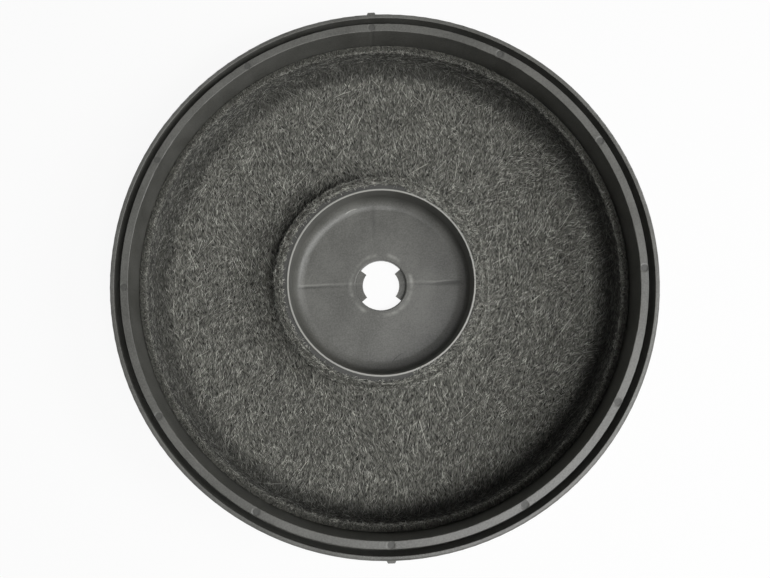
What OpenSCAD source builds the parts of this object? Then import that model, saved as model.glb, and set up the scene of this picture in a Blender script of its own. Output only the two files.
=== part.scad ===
// Round carbon filter for a cooker hood, held on the fan's stub by a bayonet in its middle.
// Origin: the middle of the underside. +Z points out of the open side, which faces the fan.
// X runs along the two bayonet tabs. Units are millimetres.

/* [Body] */
// Outer diameter over the rim's lip, without the two nubs
body_d = 240; // [210:1:280]
// Height from the underside to the top of the seat ring
body_h = 38; // [34:0.5:50]
// Thickness of the side wall below the gutter
wall_t = 2.6; // [1.8:0.1:3.2]
// Outside radius of the corner between the side wall and the underside
corner_r = 7; // [5:0.5:10]
// Radius of the hollow's corner, inside the side wall
hollow_r = 4.4; // [2:0.2:6]

/* [Rim] */
// Thickness of the outer lip
lip_t = 2.1; // [1.4:0.1:3]
// How far the lip's top lies below the seat ring's top
lip_drop = 1.2; // [0:0.1:3]
// Width of the gutter between the lip and the seat ring
gutter_w = 3.1; // [2:0.1:5]
// Depth of the gutter below the seat ring's top
gutter_depth = 12; // [6:0.5:14]
// Thickness of the web that closes the gutter
web_t = 2.2; // [1.4:0.1:3]
// Radius under the web, where it meets the side wall
web_fillet_r = 1.5; // [0.5:0.1:2.5]
// Thickness of the seat ring between the gutter and the hollow
ring_t = 3.5; // [3.2:0.1:5]
// Radius of the seat ring's two top edges
ring_edge_r = 0.3; // [0.1:0.1:0.8]
// Radius of the lip's outer top edge
lip_edge_r = 1.0; // [0.2:0.1:1]
// Radius of the lip's inner top edge
lip_inner_edge_r = 0.3; // [0.1:0.1:0.4]

/* [Ejector marks and nubs] */
// Number of ejector-pin marks on the seat ring
mark_count = 12; // [4:1:24]
// Land left on each side of a mark
mark_land = 0.2; // [0.05:0.05:0.6]
// Depth of a mark
mark_depth = 0.3; // [0.1:0.05:1]
// Width of a nub on the lip's outside
nub_w = 4; // [2:0.5:10]
// How far a nub stands out from the lip
nub_out = 1; // [0.4:0.1:2]
// Slope of a nub's flanks, as the width lost on each side
nub_slope = 0.5; // [0:0.1:0.9]
// How far a nub's top lies below the lip's top
nub_drop = 1; // [0.5:0.5:4]

/* [Hub] */
// Outside diameter of the hub
hub_d = 90.6; // [80:0.2:100]
// Height of the hub's rim above the underside, without its bead
hub_h = 20.1; // [18:0.1:26]
// Width of the hub's rim
hub_rim_w = 3; // [2.2:0.1:5]
// Width of the bead on the rim's inner edge
bead_w = 0.8; // [0.5:0.1:1.2]
// Height of the bead above the rim
bead_h = 0.6; // [0.4:0.1:1.5]
// Radius of the bead's two edges
bead_edge_r = 0.2; // [0.1:0.05:0.2]
// How much narrower the recess is at its floor than at its mouth, on each side
hub_draft = 0.5; // [0:0.1:2]
// Radius between the recess's wall and its floor
hub_fillet_r = 5.5; // [2:0.5:8]
// Height of the recess's floor above the underside
hub_floor_h = 4; // [3.5:0.1:8]
// Thickness of the recess's floor
hub_floor_t = 2.4; // [1.6:0.1:3]

/* [Bayonet] */
// Diameter of the bayonet hole
hole_d = 24; // [18:0.2:30]
// Radius of the hole's top edge
hole_edge_r = 0.6; // [0.2:0.1:1]
// Thickness of the collar under the hub's floor, round the hole
collar_t = 3; // [2:0.1:5]
// How far a tab reaches into the hole
tab_reach = 3.25; // [1:0.05:5]
// Thickness of a tab, up from the underside
tab_t = 1.4; // [1:0.1:2]
// Angle that a tab spans
tab_angle = 77; // [40:1:100]

/* [Grille] */
// Thickness of the grille
grille_t = 2.4; // [1.6:0.1:3]
// Width of the plain band between the hub and the first windows
hub_band_w = 4.2; // [2:0.1:8]
// Width of the plain band between the hollow's wall and the last windows
rim_band_w = 5.9; // [5:0.1:10]
// Number of window rows, counted outwards
row_count = 4; // [2:1:6]
// Number of rows with full spokes alone
sparse_rows = 2; // [1:1:3]
// Number of full spokes, which double in the outer rows
spoke_count = 24; // [16:1:36]
// Width of a spoke
spoke_w = 2; // [1.4:0.1:3]
// Width of a ring between two rows
ring_w = 2; // [1.4:0.1:3]

/* [Felt] */
// Thickness of the felt
felt_t = 3; // [2:0.1:4]
// Gap between the felt's turned-up edges and the walls beside them
felt_gap = 0.4; // [0.3:0.1:1]
// Height of the felt's outer edge above the underside
felt_edge_h = 22; // [20.5:0.5:28]
// How far the felt's inner edge stays below the hub's rim
felt_hub_drop = 0.8; // [0.2:0.1:3]
// Inside radius of the felt's bends
felt_bend_r = 6; // [3:0.5:8]

/* [Hidden] */
$fn = 180;

// Overshoot of a cut past the face that it opens
over = 1;
// How far a rib, tab or nub reaches into the wall that carries it
root = 1;

// Radii, from the outside in
lip_r = body_d / 2;
lip_in_r = lip_r - lip_t;
ring_r = lip_in_r - gutter_w;
dish_r = ring_r - ring_t;
wall_r = dish_r + wall_t;
grille_out_r = dish_r - rim_band_w;
hub_r = hub_d / 2;
grille_in_r = hub_r + hub_band_w;
hub_mouth_r = hub_r - hub_rim_w;
hub_foot_r = hub_mouth_r - hub_draft;
hole_r = hole_d / 2;
tab_r = hole_r - tab_reach;

// Levels above the underside
lip_top_z = body_h - lip_drop;
gutter_z = body_h - gutter_depth;
web_z = gutter_z - web_t;
nub_top_z = lip_top_z - nub_drop;
hub_under_z = hub_floor_h - hub_floor_t;
recess_wall_z = hub_floor_h + hub_fillet_r;

// An ejector mark fills the seat ring, less the land on each side
mark_r = ring_t / 2 - mark_land;
mark_circle_r = (dish_r + ring_r) / 2;

// One row of windows and the ring outside it repeat across the grille
row_pitch = (grille_out_r - grille_in_r + ring_w) / row_count;
full_spoke_r = grille_in_r - root;
half_spoke_r = grille_in_r + sparse_rows * row_pitch - ring_w / 2;
spoke_end_r = grille_out_r + root;

// The felt lies on the grille, with its two edges turned up along the walls
felt_out_r = dish_r - felt_gap;
felt_in_r = hub_r + felt_gap;
felt_top_z = grille_t + felt_t;
felt_hub_edge_z = hub_h - felt_hub_drop;

// Section from the axis out to r, with a round lower corner
module cup_section(r, z0, z1, corner) {
    translate([0, z0]) square([r - corner, z1 - z0]);
    translate([0, z0 + corner]) square([r, z1 - z0 - corner]);
    translate([r - corner, z0 + corner]) circle(corner);
}

// Section from r0 to r1, with both lower corners round
module trough_section(r0, r1, z0, z1, corner) {
    translate([r0, z0 + corner]) square([r1 - r0, z1 - z0 - corner]);
    translate([r0 + corner, z0]) square([r1 - r0 - 2 * corner, z1 - z0]);
    for (r = [r0 + corner, r1 - corner]) translate([r, z0 + corner]) circle(corner);
}

// Section of a standing wall from r0 to r1, with its own radius on each top edge
module wall_section(r0, r1, z0, z1, inner_edge, outer_edge) {
    translate([r0, z0]) square([r1 - r0, z1 - z0 - max(inner_edge, outer_edge)]);
    translate([r0 + inner_edge, z0]) square([r1 - r0 - inner_edge - outer_edge, z1 - z0]);
    translate([r0, z0]) square([inner_edge, z1 - z0 - inner_edge]);
    translate([r1 - outer_edge, z0]) square([outer_edge, z1 - z0 - outer_edge]);
    translate([r0 + inner_edge, z1 - inner_edge]) circle(inner_edge);
    translate([r1 - outer_edge, z1 - outer_edge]) circle(outer_edge);
}

// Side wall, its round corner and the plain band of floor inside it
module dish_section() {
    difference() {
        cup_section(wall_r, 0, gutter_z, corner_r);
        cup_section(dish_r, grille_t, gutter_z + over, hollow_r);
        translate([0, -over]) square([grille_out_r, grille_t + 2 * over]);
    }
}

// Rim with a U-shaped gutter between the outer lip and the seat ring
module rim_section() {
    translate([dish_r, web_z]) square([lip_r - dish_r, web_t]);
    wall_section(dish_r, ring_r, web_z, body_h, ring_edge_r, ring_edge_r);
    wall_section(lip_in_r, lip_r, web_z, lip_top_z, lip_inner_edge_r, lip_edge_r);
    difference() {
        translate([wall_r - root, web_z - web_fillet_r]) square([web_fillet_r + root, web_fillet_r + root]);
        translate([wall_r + web_fillet_r, web_z - web_fillet_r]) circle(web_fillet_r);
    }
}

// Concentric rings between the rows of windows
module grille_rings_section() {
    for (row = [1 : 1 : row_count - 1])
        translate([grille_in_r + row * row_pitch - ring_w, 0]) square([ring_w, grille_t]);
}

// Hollow of the hub, with a drafted wall above the fillet
module recess_section() {
    cup_section(hub_foot_r, hub_floor_h, recess_wall_z + over, hub_fillet_r);
    polygon([[0, recess_wall_z], [hub_foot_r, recess_wall_z], [hub_mouth_r, hub_h],
             [hub_mouth_r, hub_h + over], [0, hub_h + over]]);
}

// Hub: recessed dish with a beaded rim, the band round its foot and the collar of the hole
module hub_section() {
    difference() {
        union() {
            translate([hole_r + hole_edge_r, hub_under_z])
                square([hub_r - hole_r - hole_edge_r, hub_h - hub_under_z]);
            translate([hub_foot_r, 0]) square([hub_r - hub_foot_r, hub_h]);
            translate([hub_foot_r, 0]) square([grille_in_r - hub_foot_r, grille_t]);
        }
        recess_section();
    }
    wall_section(hub_mouth_r, hub_mouth_r + bead_w, hub_h - bead_h, hub_h + bead_h, bead_edge_r, bead_edge_r);
    collar_section();
}

// Collar of the bayonet hole, from the underside up to the hub's floor
module collar_section() {
    translate([hole_r, 0]) square([collar_t, hub_floor_h - hole_edge_r]);
    translate([hole_r + hole_edge_r, 0]) square([collar_t - hole_edge_r, hub_floor_h]);
    translate([hole_r + hole_edge_r, hub_floor_h - hole_edge_r]) circle(hole_edge_r);
}

// Spokes of the grille from one radius out to the plain band, turned by half a pitch or not
module spokes(from_r, turn) {
    for (i = [0 : spoke_count - 1])
        rotate((i + turn) * 360 / spoke_count)
            translate([from_r, -spoke_w / 2, 0]) cube([spoke_end_r - from_r, spoke_w, grille_t]);
}

// The two bayonet tabs, on either side of the hole
module tabs() {
    for (side = [0, 180])
        rotate([0, 0, side - tab_angle / 2])
            rotate_extrude(angle = tab_angle) translate([tab_r, 0]) square([tab_reach + root, tab_t]);
}

// Nub on the outside of the lip, on the Y axis
module nub() {
    half = nub_w / 2;
    translate([0, lip_r, web_z])
        linear_extrude(nub_top_z - web_z)
            polygon([[-half, -root], [half, -root], [half, 0], [half - nub_slope, nub_out],
                     [nub_slope - half, nub_out], [-half, 0]]);
}

module ejector_marks() {
    for (i = [0 : mark_count - 1])
        rotate(i * 360 / mark_count)
            translate([mark_circle_r, 0, body_h - mark_depth]) cylinder(r = mark_r, h = mark_depth + over);
}

// The one-piece moulding
module housing() {
    color("#5c5c57") difference() {
        union() {
            rotate_extrude() {
                dish_section();
                rim_section();
                grille_rings_section();
                hub_section();
            }
            spokes(full_spoke_r, 0);
            if (sparse_rows < row_count) spokes(half_spoke_r, 0.5);
            tabs();
            for (side = [0, 180]) rotate(side) nub();
        }
        ejector_marks();
    }
}

// Needle-punched mat, pressed to a ring-shaped trough
module carbon_felt() {
    color("#3e3e3a") rotate_extrude() difference() {
        trough_section(felt_in_r, felt_out_r, grille_t, felt_edge_h, felt_bend_r + felt_t);
        trough_section(felt_in_r + felt_t, felt_out_r - felt_t, felt_top_z, felt_edge_h + over, felt_bend_r);
        translate([felt_in_r - over, felt_hub_edge_z])
            square([felt_t + felt_bend_r + over, felt_edge_h - felt_hub_edge_z + over]);
    }
}

housing();
carbon_felt();
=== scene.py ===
import math

import bpy
import numpy as np
from mathutils import Matrix, Vector, noise


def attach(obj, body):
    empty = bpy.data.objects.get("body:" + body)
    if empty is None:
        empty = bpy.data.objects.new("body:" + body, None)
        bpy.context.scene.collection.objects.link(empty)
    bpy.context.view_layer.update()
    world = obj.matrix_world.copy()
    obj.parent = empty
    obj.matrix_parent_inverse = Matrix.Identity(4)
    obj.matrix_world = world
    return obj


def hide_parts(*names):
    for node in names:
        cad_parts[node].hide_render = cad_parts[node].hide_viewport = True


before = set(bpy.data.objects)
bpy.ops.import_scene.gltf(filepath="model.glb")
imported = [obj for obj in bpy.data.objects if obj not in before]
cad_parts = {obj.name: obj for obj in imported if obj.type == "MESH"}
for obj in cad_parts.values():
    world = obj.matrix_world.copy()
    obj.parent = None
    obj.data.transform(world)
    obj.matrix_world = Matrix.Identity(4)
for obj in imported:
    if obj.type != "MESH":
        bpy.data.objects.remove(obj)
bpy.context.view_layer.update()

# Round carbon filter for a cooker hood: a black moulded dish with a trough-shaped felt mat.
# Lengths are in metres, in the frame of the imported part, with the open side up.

MM = 0.001


# ---- Camera ----

# The photograph's frame in pixels, and the camera that fits its circles
FRAME_WIDTH, FRAME_HEIGHT = 770, 578
FOCAL_PX = 800
PRINCIPAL_X, PRINCIPAL_Y = 348.0, 279.3
SENSOR_MM = 36
TILT_X, TILT_Y, TURN = -6.01, -2.38, 1.87
OFFSET_X, OFFSET_Y, DISTANCE = 14.3 * MM, 0.8 * MM, 347.5 * MM
SEAT_Z = 38 * MM


def make_camera():
    """The camera looks almost straight down at the open side."""
    data = bpy.data.cameras.new("camera")
    data.sensor_width = SENSOR_MM
    data.lens = FOCAL_PX * SENSOR_MM / FRAME_WIDTH
    data.shift_x = (FRAME_WIDTH / 2 - PRINCIPAL_X) / FRAME_WIDTH
    data.shift_y = (PRINCIPAL_Y - FRAME_HEIGHT / 2) / FRAME_WIDTH
    camera = bpy.data.objects.new("camera", data)
    turned = (
        Matrix.Rotation(math.radians(TILT_X), 3, "X")
        @ Matrix.Rotation(math.radians(TILT_Y), 3, "Y")
        @ Matrix.Rotation(math.radians(TURN), 3, "Z")
    ).transposed()
    place = Vector((0, 0, SEAT_Z)) - turned @ Vector((OFFSET_X, OFFSET_Y, -DISTANCE))
    camera.matrix_world = Matrix.Translation(place) @ turned.to_4x4()
    bpy.context.scene.collection.objects.link(camera)
    bpy.context.scene.camera = camera


# ---- Helpers ----


def srgb(code):
    """An sRGB hex value as linear RGBA."""
    parts = [int(code[i : i + 2], 16) / 255 for i in (1, 3, 5)]
    return tuple(c / 12.92 if c <= 0.04045 else ((c + 0.055) / 1.055) ** 2.4 for c in parts) + (1.0,)


def add(tree, kind, sockets=None, **settings):
    """Adds a node, sets its properties, and gives its sockets values or links."""
    node = tree.nodes.new(kind)
    for name, value in settings.items():
        setattr(node, name, value)
    for name, value in (sockets or {}).items():
        if isinstance(value, bpy.types.NodeSocket):
            tree.links.new(value, node.inputs[name])
        else:
            node.inputs[name].default_value = value
    return node


def new_material(name):
    """An empty node material and its tree."""
    material = bpy.data.materials.new(name)
    material.use_nodes = True
    material.node_tree.nodes.clear()
    return material, material.node_tree


def dress(piece, material):
    """The material in every slot of the piece."""
    if not piece.data.materials:
        piece.data.materials.append(material)
    for slot in piece.material_slots:
        slot.link = "OBJECT"
        slot.material = material


# ---- Materials ----

# Black polypropylene, injection moulded in a lightly eroded tool: a satin, dark olive grey where light falls on it
PLASTIC_DARK, PLASTIC_LIGHT = "#4b4b47", "#696965"
# The lighter colour serves both real wear and the painted highlight on the bead's top
PLASTIC_WORN_AND_LIT, PLASTIC_LINE = "#b4b4ae", "#2c2c2b"
GRAIN_MM, MOTTLE_MM, SPECKLE_SHARE = 0.7, 14, 1.0
# Knit line across the hub's floor, where the melt met behind the hole's pin: a dark line with a light one beside it
KNIT_DARK_MM, KNIT_LIGHT_MM, KNIT_APART_MM, KNIT_WANDER_MM, KNIT_SMUDGE_MM = 0.9, 0.8, 1.2, 1.4, 2.6
# The hub's floor, and the ring round the hole that the stub has rubbed
HUB_FLOOR_R_MM, HUB_FLOOR_Z_MM, RUBBED_R_MM, RUBBED_HALF_MM = 36, 4, 14.6, 1.5
# Scratches on the hub's floor: the middle of the curve that each follows, its radius, its own middle, its half length
SCRATCHES = (
    ("light", (-9.0, 26.0), 11.2, (-13.2, 36.3), 3.6),
    ("dark", (14.0, -44.0), 12.4, (6.2, -34.4), 3.8),
)
# The bead on the hub's rim, whose top carries a painted highlight
BEAD_IN_R_MM, BEAD_OUT_R_MM, BEAD_Z_MM, HUB_OUT_R_MM, RIM_Z_MM = 42.2, 43.2, 20.35, 45.4, 19.8
# Ends of the ejector pins on the seat ring
SEAT_RING_Z_MM, MARK_DEPTH_MM = 38, 0.3
PIN_CIRCLE_R_MM, PIN_R_MM, PIN_COUNT = 113.05, 1.55, 12


def moulded_polypropylene():
    """Tool grain breaks up the gloss, and the hub's floor has its knit line, flow mark, rubbed ring and scratches."""
    material, tree = new_material("black_polypropylene_satin_moulded")
    place = add(tree, "ShaderNodeTexCoord").outputs["Object"]
    mottle = add(tree, "ShaderNodeTexNoise", {"Vector": place, "Scale": 1 / (MOTTLE_MM * MM), "Detail": 5})
    grain = add(tree, "ShaderNodeTexNoise", {"Vector": place, "Scale": 1 / (GRAIN_MM * MM), "Detail": 3})
    spot = add(tree, "ShaderNodeSeparateXYZ", {"Vector": place})
    flat = add(tree, "ShaderNodeVectorMath", {0: place, 1: (1, 1, 0)}, operation="MULTIPLY").outputs[0]
    from_axis = add(tree, "ShaderNodeVectorMath", {0: flat}, operation="LENGTH").outputs["Value"]
    on_floor = add(tree, "ShaderNodeMapRange", {
        "Value": spot.outputs["Z"], "From Min": (HUB_FLOOR_Z_MM + 0.3) * MM,
        "From Max": (HUB_FLOOR_Z_MM + 2.5) * MM, "To Min": 1, "To Max": 0,
    }).outputs["Result"]
    in_hub = add(tree, "ShaderNodeMapRange", {
        "Value": from_axis, "From Min": HUB_FLOOR_R_MM * MM, "From Max": (HUB_FLOOR_R_MM + 5) * MM,
        "To Min": 1, "To Max": 0,
    }).outputs["Result"]
    hub_floor = add(tree, "ShaderNodeMath", {0: on_floor, 1: in_hub}, operation="MULTIPLY").outputs[0]

    # Knit line, stronger away from the hole
    drift = add(tree, "ShaderNodeTexNoise", {"Vector": place, "Scale": 1 / (16 * MM), "Detail": 1})
    aside = add(tree, "ShaderNodeMath", {
        0: drift.outputs["Fac"], 1: KNIT_WANDER_MM * MM, 2: spot.outputs["Y"],
    }, operation="MULTIPLY_ADD").outputs[0]
    outwards = add(tree, "ShaderNodeMapRange", {
        "Value": from_axis, "From Min": 14 * MM, "From Max": 36 * MM, "To Min": 0.25, "To Max": 1,
    }).outputs["Result"]
    line_share = add(tree, "ShaderNodeMath", {0: outwards, 1: hub_floor}, operation="MULTIPLY").outputs[0]
    lines = []
    for middle, half, smudge in (
        (KNIT_WANDER_MM / 2, KNIT_DARK_MM, KNIT_SMUDGE_MM),
        (KNIT_WANDER_MM / 2 + KNIT_APART_MM, KNIT_LIGHT_MM, 0.1),
    ):
        width = add(tree, "ShaderNodeMapRange", {
            "Value": spot.outputs["X"], "From Min": 24 * MM, "From Max": 37 * MM,
            "To Min": half * MM, "To Max": smudge * MM,
        }).outputs["Result"]
        off = add(tree, "ShaderNodeMath", {0: aside, 1: middle * MM}, operation="SUBTRACT").outputs[0]
        away = add(tree, "ShaderNodeMath", {0: off}, operation="ABSOLUTE").outputs[0]
        near = add(tree, "ShaderNodeMapRange", {
            "Value": away, "From Max": width, "To Min": 1, "To Max": 0,
        }, interpolation_type="SMOOTHSTEP").outputs["Result"]
        lines.append(add(tree, "ShaderNodeMath", {0: near, 1: line_share}, operation="MULTIPLY").outputs[0])
    knit, knit_light = lines

    # Flow mark from the hole towards the back wall
    flow_off = add(tree, "ShaderNodeMath", {0: spot.outputs["X"], 1: 2.5 * MM}, operation="ADD").outputs[0]
    flow_away = add(tree, "ShaderNodeMath", {0: flow_off}, operation="ABSOLUTE").outputs[0]
    flow_near = add(tree, "ShaderNodeMapRange", {
        "Value": flow_away, "From Max": 1.6 * MM, "To Min": 0.35, "To Max": 0,
    }, interpolation_type="SMOOTHSTEP").outputs["Result"]
    flow_reach = add(tree, "ShaderNodeMapRange", {
        "Value": spot.outputs["Y"], "From Min": 20 * MM, "From Max": 30 * MM,
    }).outputs["Result"]
    flow_line = add(tree, "ShaderNodeMath", {0: flow_near, 1: flow_reach}, operation="MULTIPLY").outputs[0]
    flow = add(tree, "ShaderNodeMath", {0: flow_line, 1: hub_floor}, operation="MULTIPLY").outputs[0]

    # Ring round the hole, rubbed lighter in patches
    rub_off = add(tree, "ShaderNodeMath", {0: from_axis, 1: RUBBED_R_MM * MM}, operation="SUBTRACT").outputs[0]
    rub_away = add(tree, "ShaderNodeMath", {0: rub_off}, operation="ABSOLUTE").outputs[0]
    rub_near = add(tree, "ShaderNodeMapRange", {
        "Value": rub_away, "From Max": RUBBED_HALF_MM * MM, "To Min": 0.5, "To Max": 0,
    }, interpolation_type="SMOOTHSTEP").outputs["Result"]
    patchy = add(tree, "ShaderNodeTexNoise", {"Vector": place, "Scale": 1 / (7 * MM), "Detail": 4})
    rub_patch = add(tree, "ShaderNodeMapRange", {"Value": patchy.outputs["Fac"], "From Min": 0.45, "From Max": 0.7})
    wear_and_highlight = add(tree, "ShaderNodeMath", {0: rub_near, 1: rub_patch.outputs["Result"]}, operation="MULTIPLY").outputs[0]
    wear_and_highlight = add(tree, "ShaderNodeMath", {0: knit_light, 1: 0.3, 2: wear_and_highlight}, operation="MULTIPLY_ADD").outputs[0]
    marks = add(tree, "ShaderNodeMath", {0: knit, 1: 0.6, 2: flow}, operation="MULTIPLY_ADD").outputs[0]

    for shade, centre, radius, middle, half_length in SCRATCHES:
        from_centre = add(tree, "ShaderNodeVectorMath", {
            0: flat, 1: (centre[0] * MM, centre[1] * MM, 0),
        }, operation="DISTANCE").outputs["Value"]
        on_curve = add(tree, "ShaderNodeMath", {
            0: from_centre, 1: radius * MM, 2: 0.22 * MM,
        }, operation="COMPARE").outputs[0]
        from_middle = add(tree, "ShaderNodeVectorMath", {
            0: flat, 1: (middle[0] * MM, middle[1] * MM, 0),
        }, operation="DISTANCE").outputs["Value"]
        in_reach = add(tree, "ShaderNodeMapRange", {
            "Value": from_middle, "From Min": half_length * 0.6 * MM, "From Max": half_length * MM,
            "To Min": 0.5, "To Max": 0,
        }).outputs["Result"]
        cut = add(tree, "ShaderNodeMath", {0: on_curve, 1: in_reach}, operation="MULTIPLY").outputs[0]
        if shade == "light":
            wear_and_highlight = add(tree, "ShaderNodeMath", {0: cut, 1: wear_and_highlight}, operation="MAXIMUM").outputs[0]
        else:
            marks = add(tree, "ShaderNodeMath", {0: cut, 1: marks}, operation="MAXIMUM").outputs[0]

    # Painted highlight: the top of the bead on the hub's rim is painted lighter
    on_bead = add(tree, "ShaderNodeMath", {
        0: from_axis, 1: (BEAD_IN_R_MM + BEAD_OUT_R_MM) / 2 * MM, 2: (BEAD_OUT_R_MM - BEAD_IN_R_MM) / 2 * MM,
    }, operation="COMPARE").outputs[0]
    bead_top = add(tree, "ShaderNodeMapRange", {
        "Value": spot.outputs["Z"], "From Min": BEAD_Z_MM * MM, "From Max": (BEAD_Z_MM + 0.2) * MM, "To Max": 0.85,
    }).outputs["Result"]
    bead_highlight = add(tree, "ShaderNodeMath", {0: on_bead, 1: bead_top}, operation="MULTIPLY").outputs[0]
    wear_and_highlight = add(tree, "ShaderNodeMath", {0: bead_highlight, 1: wear_and_highlight}, operation="MAXIMUM").outputs[0]

    # The flat of the hub's rim outside the bead is dull with dust from the felt
    on_rim = add(tree, "ShaderNodeMath", {
        0: from_axis, 1: (BEAD_OUT_R_MM + HUB_OUT_R_MM) / 2 * MM, 2: (HUB_OUT_R_MM - BEAD_OUT_R_MM) / 2 * MM,
    }, operation="COMPARE").outputs[0]
    rim_top = add(tree, "ShaderNodeMapRange", {
        "Value": spot.outputs["Z"], "From Min": RIM_Z_MM * MM, "From Max": (RIM_Z_MM + 0.2) * MM, "To Max": 0.7,
    }).outputs["Result"]
    marks = add(tree, "ShaderNodeMath", {0: on_rim, 1: rim_top, 2: marks}, operation="MULTIPLY_ADD").outputs[0]

    # The pins' ends are duller and darker than the ring that they push, and the ring is rounded off towards them
    around = add(tree, "ShaderNodeMath", {0: spot.outputs["Y"], 1: spot.outputs["X"]}, operation="ARCTAN2").outputs[0]
    from_pin_turn = add(tree, "ShaderNodeMath", {
        0: around, 1: math.pi / PIN_COUNT, 2: -math.pi / PIN_COUNT,
    }, operation="WRAP").outputs[0]
    pin_x = add(tree, "ShaderNodeMath", {0: from_pin_turn, 1: PIN_CIRCLE_R_MM * MM}, operation="MULTIPLY").outputs[0]
    pin_y = add(tree, "ShaderNodeMath", {0: from_axis, 1: PIN_CIRCLE_R_MM * MM}, operation="SUBTRACT").outputs[0]
    pin_offset = add(tree, "ShaderNodeCombineXYZ", {"X": pin_x, "Y": pin_y}).outputs["Vector"]
    from_pin = add(tree, "ShaderNodeVectorMath", {0: pin_offset}, operation="LENGTH").outputs["Value"]
    on_ring = add(tree, "ShaderNodeMath", {
        0: spot.outputs["Z"], 1: (SEAT_RING_Z_MM - MARK_DEPTH_MM) * MM, 2: 0.1 * MM,
    }, operation="COMPARE").outputs[0]
    in_pin = add(tree, "ShaderNodeMapRange", {
        "Value": from_pin, "From Min": (PIN_R_MM - 0.3) * MM, "From Max": (PIN_R_MM + 0.1) * MM,
        "To Min": 1, "To Max": 0,
    }).outputs["Result"]
    pin_rim = add(tree, "ShaderNodeMapRange", {
        "Value": from_pin, "From Min": (PIN_R_MM - 0.1) * MM, "From Max": (PIN_R_MM + 0.6) * MM, "To Max": 1.6,
    }, interpolation_type="SMOOTHSTEP").outputs["Result"]
    pin_end = add(tree, "ShaderNodeMath", {0: in_pin, 1: on_ring}, operation="MULTIPLY").outputs[0]
    marks = add(tree, "ShaderNodeMath", {0: pin_end, 1: 0.5, 2: marks}, operation="MULTIPLY_ADD").outputs[0]

    speckle = add(tree, "ShaderNodeMath", {
        0: grain.outputs["Fac"], 1: SPECKLE_SHARE, 2: mottle.outputs["Fac"],
    }, operation="MULTIPLY_ADD").outputs[0]
    cloudy = add(tree, "ShaderNodeMapRange", {
        "Value": speckle, "From Min": 0.2 + SPECKLE_SHARE / 2, "From Max": 0.8 + SPECKLE_SHARE / 2,
    }).outputs["Result"]
    base = add(tree, "ShaderNodeMix", {
        0: cloudy, 6: srgb(PLASTIC_DARK), 7: srgb(PLASTIC_LIGHT),
    }, data_type="RGBA").outputs[2]
    worn_and_highlight = add(tree, "ShaderNodeMix", {0: wear_and_highlight, 6: base, 7: srgb(PLASTIC_WORN_AND_LIT)}, data_type="RGBA").outputs[2]
    lined = add(tree, "ShaderNodeMix", {0: marks, 6: worn_and_highlight, 7: srgb(PLASTIC_LINE)}, data_type="RGBA").outputs[2]
    satin = add(tree, "ShaderNodeMapRange", {"Value": mottle.outputs["Fac"], "To Min": 0.34, "To Max": 0.44})
    rough = add(tree, "ShaderNodeMath", {
        0: marks, 1: 0.35, 2: satin.outputs["Result"],
    }, operation="MULTIPLY_ADD").outputs[0]
    grained = add(tree, "ShaderNodeMath", {0: knit, 1: -0.6, 2: grain.outputs["Fac"]}, operation="MULTIPLY_ADD").outputs[0]
    relief = add(tree, "ShaderNodeMath", {0: grained, 1: pin_rim}, operation="ADD").outputs[0]
    bump = add(tree, "ShaderNodeBump", {"Height": relief, "Strength": 0.5, "Distance": 0.2 * MM})
    shader = add(tree, "ShaderNodeBsdfPrincipled", {
        "Base Color": lined,
        "Roughness": rough,
        "IOR": 1.49,
        "Normal": bump.outputs["Normal"],
    })
    add(tree, "ShaderNodeOutputMaterial", {"Surface": shader.outputs["BSDF"]})
    return material


# Needle-punched polyester felt loaded with carbon dust: dull and matted, so fine streaks cross it
FELT_DARK, FELT_LIGHT = "#242422", "#8e8e86"
STREAK_MM, STREAK_STRETCH, PATCH_MM, CLUMP_MM = 0.45, 4.5, 11, 3.5
STREAK_TURNS = (85, 50, 120)
# Painted shade: the felt is darkened towards its outer bend and wall, where shade falls, and less on its cut edge
BEND_SHADE_FROM_R_MM, BEND_SHADE_FULL_R_MM, BEND_SHADE_TO_Z_MM, BEND_PAINTED_SHADE = 98, 105, 20.8, 0.42


def painted_bend_shade(tree, place):
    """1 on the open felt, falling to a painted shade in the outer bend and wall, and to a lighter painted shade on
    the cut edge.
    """
    spot = add(tree, "ShaderNodeSeparateXYZ", {"Vector": place})
    flat = add(tree, "ShaderNodeVectorMath", {0: place, 1: (1, 1, 0)}, operation="MULTIPLY").outputs[0]
    from_axis = add(tree, "ShaderNodeVectorMath", {0: flat}, operation="LENGTH").outputs["Value"]
    bend = add(tree, "ShaderNodeMapRange", {
        "Value": from_axis, "From Min": BEND_SHADE_FROM_R_MM * MM, "From Max": BEND_SHADE_FULL_R_MM * MM,
        "To Min": 1, "To Max": BEND_PAINTED_SHADE,
    }, interpolation_type="SMOOTHSTEP").outputs["Result"]
    edge = add(tree, "ShaderNodeMapRange", {
        "Value": spot.outputs["Z"], "From Min": BEND_SHADE_TO_Z_MM * MM, "From Max": (BEND_SHADE_TO_Z_MM + 0.8) * MM,
        "To Max": 0.7,
    }).outputs["Result"]
    return add(tree, "ShaderNodeMath", {0: bend, 1: edge}, operation="MAXIMUM").outputs[0]


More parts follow.
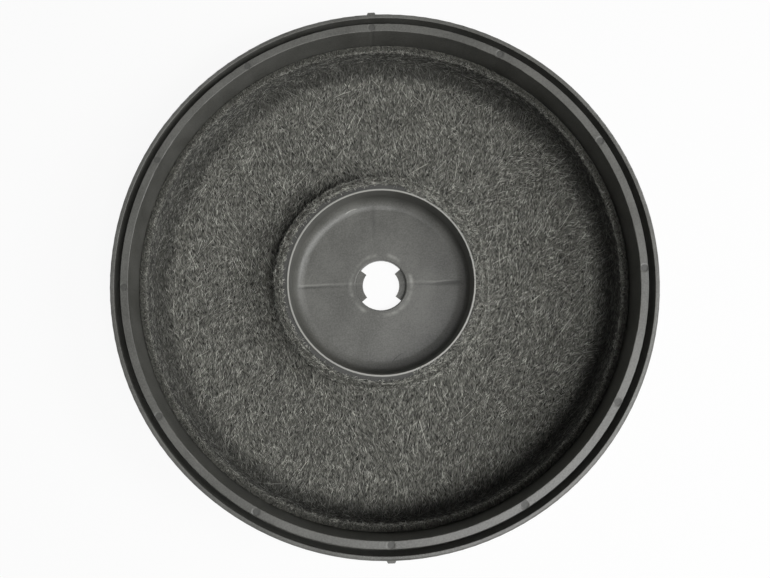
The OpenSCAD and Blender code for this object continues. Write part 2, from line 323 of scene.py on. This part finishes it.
def needled_felt():
    """Short streaks whose direction changes from patch to patch, at an even brightness, darkened by painted shade in
    the outer bend.
    """
    material, tree = new_material("carbon_felt_needle_punched")
    place = add(tree, "ShaderNodeTexCoord").outputs["Object"]
    matted = None
    for layer, turn in enumerate(STREAK_TURNS):
        mapped = add(tree, "ShaderNodeMapping", {
            "Vector": place,
            "Rotation": (0, 0, math.radians(turn)),
            "Scale": (STREAK_STRETCH, 1, 1),
        }, vector_type="TEXTURE")
        streak = add(tree, "ShaderNodeTexNoise", {
            "Vector": mapped.outputs["Vector"], "Scale": 1 / (STREAK_MM * MM), "Detail": 2,
        }).outputs["Fac"]
        if matted is None:
            matted = streak
            continue
        shifted = add(tree, "ShaderNodeMapping", {"Vector": place, "Location": (layer, 0, 0)})
        patch = add(tree, "ShaderNodeTexNoise", {
            "Vector": shifted.outputs["Vector"], "Scale": 1 / (PATCH_MM * MM), "Detail": 2,
        })
        mask = add(tree, "ShaderNodeMapRange", {"Value": patch.outputs["Fac"], "From Min": 0.45, "From Max": 0.6})
        matted = add(tree, "ShaderNodeMix", {
            "Factor": mask.outputs["Result"], "A": matted, "B": streak,
        }, data_type="FLOAT").outputs["Result"]
    spread = add(tree, "ShaderNodeMapRange", {"Value": matted, "From Min": 0.35, "From Max": 0.65})
    bump = add(tree, "ShaderNodeBump", {"Height": spread.outputs["Result"], "Strength": 0.8, "Distance": 0.4 * MM})
    share = add(tree, "ShaderNodeMath", {
        0: spread.outputs["Result"], 1: painted_bend_shade(tree, place),
    }, operation="MULTIPLY").outputs[0]
    colour = add(tree, "ShaderNodeMix", {0: share, 6: srgb(FELT_DARK), 7: srgb(FELT_LIGHT)}, data_type="RGBA").outputs[2]
    shader = add(tree, "ShaderNodeBsdfPrincipled", {
        "Base Color": colour,
        "Roughness": 0.95,
        "Diffuse Roughness": 1.0,
        "Specular IOR Level": 0.2,
        "Normal": bump.outputs["Normal"],
    })
    add(tree, "ShaderNodeOutputMaterial", {"Surface": shader.outputs["BSDF"]})
    return material


def loose_fibre(name, dark, light):
    """Polyester fibres, each with its own share of carbon dust, which also lies thicker in clumps, darkened by
    painted shade in the mat's outer bend.
    """
    material, tree = new_material(name)
    each = add(tree, "ShaderNodeNewGeometry").outputs["Random Per Island"]
    bare = add(tree, "ShaderNodeMath", {0: each, 1: 2.4}, operation="POWER").outputs[0]
    place = add(tree, "ShaderNodeTexCoord").outputs["Object"]
    clump = add(tree, "ShaderNodeTexNoise", {"Vector": place, "Scale": 1 / (CLUMP_MM * MM), "Detail": 4})
    dust = add(tree, "ShaderNodeMapRange", {
        "Value": clump.outputs["Fac"], "From Min": 0.35, "From Max": 0.65, "To Min": 0.7, "To Max": 1.3,
    })
    clumped = add(tree, "ShaderNodeMath", {0: bare, 1: dust.outputs["Result"]}, operation="MULTIPLY").outputs[0]
    share = add(tree, "ShaderNodeMath", {0: clumped, 1: painted_bend_shade(tree, place)}, operation="MULTIPLY").outputs[0]
    colour = add(tree, "ShaderNodeMix", {0: share, 6: srgb(dark), 7: srgb(light)}, data_type="RGBA")
    shader = add(tree, "ShaderNodeBsdfPrincipled", {
        "Base Color": colour.outputs[2],
        "Roughness": 0.6,
        "Diffuse Roughness": 1.0,
        "Specular IOR Level": 0.35,
    })
    add(tree, "ShaderNodeOutputMaterial", {"Surface": shader.outputs["BSDF"]})
    return material


# ---- Felt mat ----

FELT_IN_R, FELT_OUT_R = 45.7 * MM, 110.9 * MM
FELT_UNDER_Z, FELT_THICK, FELT_BEND_R = 2.4 * MM, 3.0 * MM, 6.0 * MM
FELT_HUB_EDGE_Z, FELT_WALL_EDGE_Z = 19.3 * MM, 22.0 * MM
STEPS_ROUND, STEP_UP = 660, 0.75 * MM
# Lumps of the matted face, as (width, height) of each size
LUMPS = ((9 * MM, 0.4 * MM), (3 * MM, 0.2 * MM), (1.3 * MM, 0.12 * MM))
RAGGED_EDGE = 0.5 * MM


def face_line(inset, step):
    """One face of the mat's section as (r, z, normal r, normal z), from the hub to the side wall."""
    bend = FELT_BEND_R + FELT_THICK - inset
    r0, r1, z0 = FELT_IN_R + inset, FELT_OUT_R - inset, FELT_UNDER_Z + inset
    points = []
    for z in np.linspace(FELT_HUB_EDGE_Z, z0 + bend, max(2, round((FELT_HUB_EDGE_Z - z0 - bend) / step)), False):
        points.append((r0, z, 1, 0))
    turns = max(4, round(bend * math.pi / 2 / step))
    for a in np.linspace(math.pi, 1.5 * math.pi, turns, False):
        points.append((r0 + bend + bend * math.cos(a), z0 + bend + bend * math.sin(a), -math.cos(a), -math.sin(a)))
    for r in np.linspace(r0 + bend, r1 - bend, round((r1 - r0 - 2 * bend) / step), False):
        points.append((r, z0, 0, 1))
    for a in np.linspace(1.5 * math.pi, 2 * math.pi, turns, False):
        points.append((r1 - bend + bend * math.cos(a), z0 + bend + bend * math.sin(a), -math.cos(a), -math.sin(a)))
    for z in np.linspace(z0 + bend, FELT_WALL_EDGE_Z, max(2, round((FELT_WALL_EDGE_Z - z0 - bend) / step))):
        points.append((r1, z, -1, 0))
    return np.array(points)


def rise(point):
    """How far the matted face stands out at a point."""
    return sum(height * noise.noise(Vector(point) / width) for width, height in LUMPS)


def add_mesh(name, vertices, faces):
    """A smooth-shaded mesh object in the scene."""
    mesh = bpy.data.meshes.new(name)
    mesh.from_pydata(vertices.tolist(), [], faces.tolist())
    mesh.polygons.foreach_set("use_smooth", np.ones(len(mesh.polygons), bool))
    mesh.validate()
    piece = bpy.data.objects.new(name, mesh)
    bpy.context.scene.collection.objects.link(piece)
    return piece


def make_mat():
    """The pressed mat: matted above, plain below, with ragged cut edges."""
    top = face_line(FELT_THICK, STEP_UP)
    under = face_line(0, 4 * STEP_UP)[::-1]
    section = np.vstack([top[:, :2], under[:, :2]])
    turns = np.linspace(0, 2 * math.pi, STEPS_ROUND, endpoint=False)
    vertices = np.zeros((STEPS_ROUND, len(section), 3))
    for i, turn in enumerate(turns):
        c, s = math.cos(turn), math.sin(turn)
        for j, (r, z) in enumerate(section):
            point = np.array((r * c, r * s, z))
            if j < len(top):
                out = rise(point)
                point = point + out * np.array((top[j, 2] * c, top[j, 2] * s, top[j, 3]))
            if j in (0, len(top) - 1, len(top), len(section) - 1):
                point[2] += RAGGED_EDGE * noise.noise(Vector(point) / (1.6 * MM))
            vertices[i, j] = point
    count = len(section)
    i, j = np.meshgrid(np.arange(STEPS_ROUND), np.arange(count), indexing="ij")
    ni, nj = (i + 1) % STEPS_ROUND, (j + 1) % count
    faces = np.stack([i * count + j, ni * count + j, ni * count + nj, i * count + nj], -1).reshape(-1, 4)
    return add_mesh("felt_mat", vertices.reshape(-1, 3), faces)


# ---- Loose fibres ----

# Short fibres of the needled face as three points, and the longer loose ones as five
FIBRE_R = (0.05 * MM, 0.1 * MM)
SHORT_FIBRE, SHORT_COUNT, SHORT_POINTS = (1.8 * MM, 5.4 * MM), 33000, 3
LONG_FIBRE, LONG_COUNT, LONG_POINTS = (9.0 * MM, 18.0 * MM), 1200, 5
TUCK, STAND = 0.15 * MM, 0.30 * MM
GRAIN_TURN, GRAIN_LEAN, GRAIN_SWING, GRAIN_JITTER = 86, 52, 70, 25


def grain_turn(x, y):
    """Direction of the web's fibres at a place, in degrees."""
    swirl = noise.noise(Vector((x, y, 0)) / (30 * MM))
    mixed = 0.35 + 0.65 * min(1, max(0, (y + 50 * MM) / (80 * MM)))
    return GRAIN_TURN - GRAIN_LEAN * min(1, max(0, (x - 20 * MM) / (70 * MM))) + GRAIN_SWING * mixed * swirl


def unit(vectors):
    """Each vector at length one."""
    return vectors / (np.linalg.norm(vectors, axis=1, keepdims=True) + 1e-12)


def fibre_tubes(name, lines, radii):
    """Closed three-sided tubes with pointed ends, one along each line of points."""
    rings = lines.shape[1] - 2
    along = unit(lines[:, -1] - lines[:, 0])
    aside = unit(np.cross(along, np.array((0.31, 0.17, 0.93))))
    over = np.cross(along, aside)
    each = 2 + 3 * rings
    vertices = np.zeros((len(lines), each, 3))
    vertices[:, 0], vertices[:, -1] = lines[:, 0], lines[:, -1]
    for ring in range(rings):
        for k in range(3):
            a = 2 * math.pi * k / 3
            offset = math.cos(a) * aside + math.sin(a) * over
            vertices[:, 1 + 3 * ring + k] = lines[:, 1 + ring] + offset * radii[:, None]
    pattern = []
    for k in range(3):
        n = (k + 1) % 3
        pattern += [(0, 1 + n, 1 + k), (each - 1, each - 4 + k, each - 4 + n)]
        for first in range(1, each - 4, 3):
            pattern += [(first + k, first + n, first + 3 + n), (first + k, first + 3 + n, first + 3 + k)]
    faces = (np.arange(len(lines))[:, None, None] * each + np.array(pattern)[None]).reshape(-1, 3)
    return add_mesh(name, vertices.reshape(-1, 3), faces)


def onto_face(points):
    """The place on the smooth matted face nearest to each point, and the way out of the mat there."""
    radius = np.hypot(points[:, 0], points[:, 1])
    round_in = np.clip(radius, FELT_IN_R + FELT_THICK + FELT_BEND_R, FELT_OUT_R - FELT_THICK - FELT_BEND_R)
    round_z = np.maximum(points[:, 2], FELT_UNDER_Z + FELT_THICK + FELT_BEND_R)
    towards = unit(np.stack([radius - round_in, points[:, 2] - round_z], 1))
    edge_z = np.where(radius > (FELT_IN_R + FELT_OUT_R) / 2, FELT_WALL_EDGE_Z, FELT_HUB_EDGE_Z)
    r, z = round_in + FELT_BEND_R * towards[:, 0], np.minimum(round_z + FELT_BEND_R * towards[:, 1], edge_z)
    c, s = points[:, 0] / radius, points[:, 1] / radius
    return np.stack([r * c, r * s, z], 1), -np.stack([towards[:, 0] * c, towards[:, 0] * s, towards[:, 1]], 1)


def lying_fibres(name, seed, count, lengths, spots):
    """Fibres that lie on the matted face along the web's grain, with their ends tucked in."""
    rng = np.random.default_rng(seed)
    face = face_line(FELT_THICK, 0.2 * MM)
    share = np.cumsum(face[:, 0])
    r, z, nr, nz = face[np.searchsorted(share, rng.uniform(0, share[-1], count))].T
    turn = rng.uniform(0, 2 * math.pi, count)
    start = np.stack([r * np.cos(turn), r * np.sin(turn), z], 1)
    out = np.stack([nr * np.cos(turn), nr * np.sin(turn), nz], 1)
    grain = np.array([grain_turn(x, y) for x, y in start[:, :2]])
    a = np.radians(grain + rng.normal(0, GRAIN_JITTER, count))
    way = np.stack([np.cos(a), np.sin(a), 0.35 * rng.normal(0, 1, count)], 1)
    way = unit(way - out * np.sum(way * out, axis=1, keepdims=True))
    side = np.cross(out, way)
    length = rng.uniform(*lengths, count)
    bow = rng.normal(0, 0.12, count) * length
    lines = np.zeros((count, spots, 3))
    for k, t in enumerate(np.linspace(-0.5, 0.5, spots)):
        arch = 1 - 4 * t * t
        foot, normal = onto_face(start + way * (t * length)[:, None] + side * (bow * arch / 4)[:, None])
        lift = np.array([rise(p) for p in foot]) + STAND * arch - TUCK
        lines[:, k] = foot + normal * lift[:, None]
    return fibre_tubes(name, lines, rng.uniform(*FIBRE_R, count))


# Each row of cut fibres as the edge's radius and height, the band across it that they stand on, their number,
# their lengths, how far they lean along and across the edge for each unit that they rise, and the half turn they fill
ALL_ROUND = math.pi
CUT_FACES = (
    (FELT_IN_R, FELT_HUB_EDGE_Z, (0.1, 0.9), 3500, (0.7, 2.0), 0.8, 0.5, ALL_ROUND),
    (FELT_OUT_R - FELT_THICK, FELT_WALL_EDGE_Z, (0.1, 0.9), 8500, (0.7, 2.0), 0.8, 0.5, ALL_ROUND),
)
HUB_RIM_Z = 20.4 * MM
# These corner fibres take a lighter material: a painted highlight for the light that the mat's cut corners and the
# hub's rim catch
CORNER_LINES = (
    (FELT_IN_R, FELT_HUB_EDGE_Z, (0.8, 1.1), 3000, (1.0, 2.6), 2, 0.7, ALL_ROUND),
    (FELT_OUT_R - FELT_THICK, FELT_WALL_EDGE_Z, (-0.1, 0.15), 11000, (1.0, 2.6), 2, 0.7, ALL_ROUND),
    (FELT_IN_R, HUB_RIM_Z, (-0.1, 0.3), 4500, (1.2, 2.8), 9, 3, ALL_ROUND),
    (FELT_IN_R, HUB_RIM_Z, (-0.8, 0), 2600, (1.2, 2.8), 9, 3, 0.4 * ALL_ROUND),
)


def edge_fringe(name, seed, cut_rows):
    """Short fibres that stand along the mat's cut edges."""
    rng = np.random.default_rng(seed)
    rows, radii = [], []
    for edge_r, edge_z, band, count, lengths, lean_along, lean_across, half_turn in cut_rows:
        turn = rng.uniform(-half_turn, half_turn, count)
        c, s = np.cos(turn), np.sin(turn)
        r = edge_r + rng.uniform(*band, count) * FELT_THICK
        start = np.stack([r * c, r * s, np.full(count, edge_z - 0.3 * MM)], 1)
        along, across = rng.normal(0, lean_along, count), rng.normal(0, lean_across, count)
        way = unit(np.stack([c * across - s * along, s * across + c * along, np.ones(count)], 1))
        length = rng.uniform(*lengths, count)[:, None] * MM
        bend = rng.normal(0, 0.15, (count, 3)) * length
        rows.append(np.stack([start + way * (t * length) + bend * t * (1 - t) for t in (0, 0.5, 1)], 1))
        radii.append(rng.uniform(0.07, 0.12, count) * MM)
    return fibre_tubes(name, np.vstack(rows), np.concatenate(radii))


# ---- Floor, world and lamps ----

# Each lamp as name, azimuth from +X, elevation, distance, side, power in watts
LAMPS = (
    ("window_right", -12, 40, 1.2, 0.5, 7.5),
    ("overhead", -45, 67, 1.2, 0.5, 7.8),
)
WORLD_FILL = 0.01
FLOOR_SHADE_SHARE = 0.08


def seen_directly(tree):
    """1 for rays from the camera, from gloss and through clear things, and 0 for diffuse light."""
    path = add(tree, "ShaderNodeLightPath")
    first = add(tree, "ShaderNodeMath", operation="MAXIMUM")
    tree.links.new(path.outputs["Is Camera Ray"], first.inputs[0])
    tree.links.new(path.outputs["Is Glossy Ray"], first.inputs[1])
    both = add(tree, "ShaderNodeMath", operation="MAXIMUM")
    tree.links.new(first.outputs[0], both.inputs[0])
    tree.links.new(path.outputs["Is Transmission Ray"], both.inputs[1])
    return both.outputs[0]


def make_world():
    """White where it is seen, and a low even fill where it lights."""
    world = bpy.data.worlds.new("studio")
    world.use_nodes = True
    tree = world.node_tree
    tree.nodes.clear()
    fill = add(tree, "ShaderNodeBackground", {"Color": (1, 1, 1, 1), "Strength": WORLD_FILL})
    white = add(tree, "ShaderNodeBackground", {"Color": (1, 1, 1, 1), "Strength": 1.0})
    mix = add(tree, "ShaderNodeMixShader", {"Fac": seen_directly(tree)})
    tree.links.new(fill.outputs[0], mix.inputs[1])
    tree.links.new(white.outputs[0], mix.inputs[2])
    add(tree, "ShaderNodeOutputWorld", {"Surface": mix.outputs[0]})
    bpy.context.scene.world = world


def make_floor():
    """White paper floor: mostly its own white where it is seen, with a share that takes the shadow."""
    material, tree = new_material("white_paper_floor")
    paper = add(tree, "ShaderNodeBsdfDiffuse", {"Color": srgb("#f2f2f2")})
    white = add(tree, "ShaderNodeEmission", {"Color": (1, 1, 1, 1), "Strength": 1.0})
    share = add(tree, "ShaderNodeMath", operation="MULTIPLY")
    tree.links.new(seen_directly(tree), share.inputs[0])
    share.inputs[1].default_value = 1 - FLOOR_SHADE_SHARE
    mix = add(tree, "ShaderNodeMixShader", {"Fac": share.outputs[0]})
    tree.links.new(paper.outputs[0], mix.inputs[1])
    tree.links.new(white.outputs[0], mix.inputs[2])
    add(tree, "ShaderNodeOutputMaterial", {"Surface": mix.outputs[0]})
    half = 2.0
    corners = np.array(((-half, -half, 0), (half, -half, 0), (half, half, 0), (-half, half, 0)), float)
    floor = add_mesh("floor", corners, np.array(((0, 1, 2, 3),)))
    dress(floor, material)


def make_lamps():
    """Square area lamps, aimed at the middle of the dish."""
    for name, azimuth, elevation, distance, side, power in LAMPS:
        data = bpy.data.lights.new(name, "AREA")
        data.size = side
        data.energy = power
        a, e = math.radians(azimuth), math.radians(elevation)
        back = Vector((math.cos(a) * math.cos(e), math.sin(a) * math.cos(e), math.sin(e)))
        lamp = bpy.data.objects.new(name, data)
        lamp.location = back * distance + Vector((0, 0, SEAT_Z / 2))
        lamp.rotation_euler = back.to_track_quat("Z", "Y").to_euler()
        bpy.context.scene.collection.objects.link(lamp)


# ---- The scene ----

bpy.context.scene.view_settings.view_transform = "Standard"
make_camera()
make_world()
make_floor()
make_lamps()

dress(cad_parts["housing"], moulded_polypropylene())

felt = needled_felt()
loose = loose_fibre("polyester_fibre_dusted", "#121211", "#f0f0e6")
cut = loose_fibre("polyester_fibre_cut", "#262623", "#b4b4aa")
# Painted highlight: the lighter fibres for the corners of the mat's cut edges
bare = loose_fibre("polyester_fibre_painted_highlight", "#4c4c47", "#f4f4ea")
mat = make_mat()
dress(mat, felt)
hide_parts("carbon_felt")
fibres = [
    lying_fibres("felt_fibres_a", 11, SHORT_COUNT, SHORT_FIBRE, SHORT_POINTS),
    lying_fibres("felt_fibres_b", 12, SHORT_COUNT, SHORT_FIBRE, SHORT_POINTS),
    lying_fibres("felt_fibres_c", 15, SHORT_COUNT // 2, SHORT_FIBRE, SHORT_POINTS),
    lying_fibres("felt_fibres_long", 14, LONG_COUNT, LONG_FIBRE, LONG_POINTS),
]
for piece in fibres:
    dress(piece, loose)
cut_faces = edge_fringe("felt_cut_faces", 13, CUT_FACES)
dress(cut_faces, cut)
corner_lines = edge_fringe("felt_corner_lines", 16, CORNER_LINES)
dress(corner_lines, bare)
pieces = [mat, *fibres, cut_faces, corner_lines]
for piece in pieces:
    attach(piece, "root")
